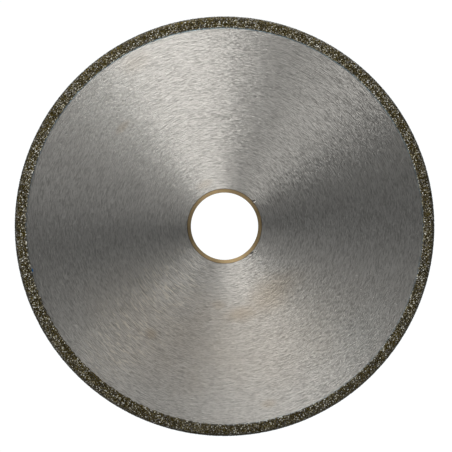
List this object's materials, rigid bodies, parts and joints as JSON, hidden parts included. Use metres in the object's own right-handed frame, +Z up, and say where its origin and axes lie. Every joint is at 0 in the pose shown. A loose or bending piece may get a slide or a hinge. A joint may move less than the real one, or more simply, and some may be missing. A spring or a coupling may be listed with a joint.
{
  "type": "diamond grinding wheel",
  "caption": "Thin steel wheel with a diamond-plated rim on both faces and the edge, and a brass bush in its bore, for grinding and cutting stone and glass.",
  "frame": {"origin": "middle of the bore, halfway between the two faces", "axes": "the wheel turns about Y, its front face looks along -Y, +X is to the right of that face, midway between the two staking marks, and +Z is up"},
  "size_m": [0.125, 0.0026, 0.125],
  "materials": {
    "ground_steel": "ground in fine circles about the bore",
    "bush_brass": "turned, dull",
    "plated_nickel": "dull dark plating between the grains",
    "diamond_grit": "yellowish crystals with bright facets"
  },
  "bodies": {
    "root": {"steel_core": "ground_steel", "bush": "bush_brass", "nickel_plating": "plated_nickel", "diamond_grains_front": "diamond_grit", "diamond_grains_back": "diamond_grit", "diamond_grains_edge": "diamond_grit"}
  },
  "joints": []
}
